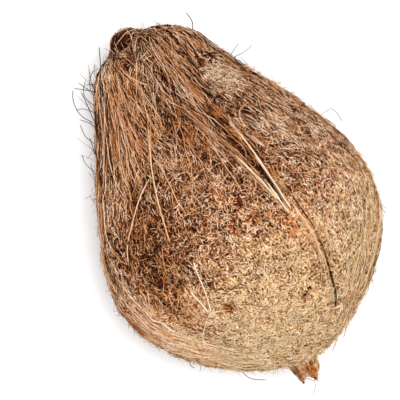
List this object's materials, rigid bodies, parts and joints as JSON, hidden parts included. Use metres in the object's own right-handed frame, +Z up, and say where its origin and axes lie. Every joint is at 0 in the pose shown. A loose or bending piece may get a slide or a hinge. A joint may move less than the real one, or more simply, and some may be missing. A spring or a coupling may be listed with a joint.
{
  "type": "coconut",
  "caption": "Whole husked coconut lying on its side, pear-shaped, with a tuft of husk fibre pressed over the stem end and a torn fibre beak at the round end.",
  "frame": {"origin": "centre of the bottom of the bounding box, on the plane that the nut rests on", "axes": "+X along the nut's long axis from the tufted stem end to the round end with the beak, +Y across the nut, +Z up from the resting spot; the narrow end dips 6 degrees"},
  "size_m": [0.1506, 0.1086, 0.1055],
  "materials": {
    "husk_fibre": "matte, matted coir fibre over shell"
  },
  "bodies": {
    "root": {"coconut": "husk_fibre"}
  },
  "joints": []
}
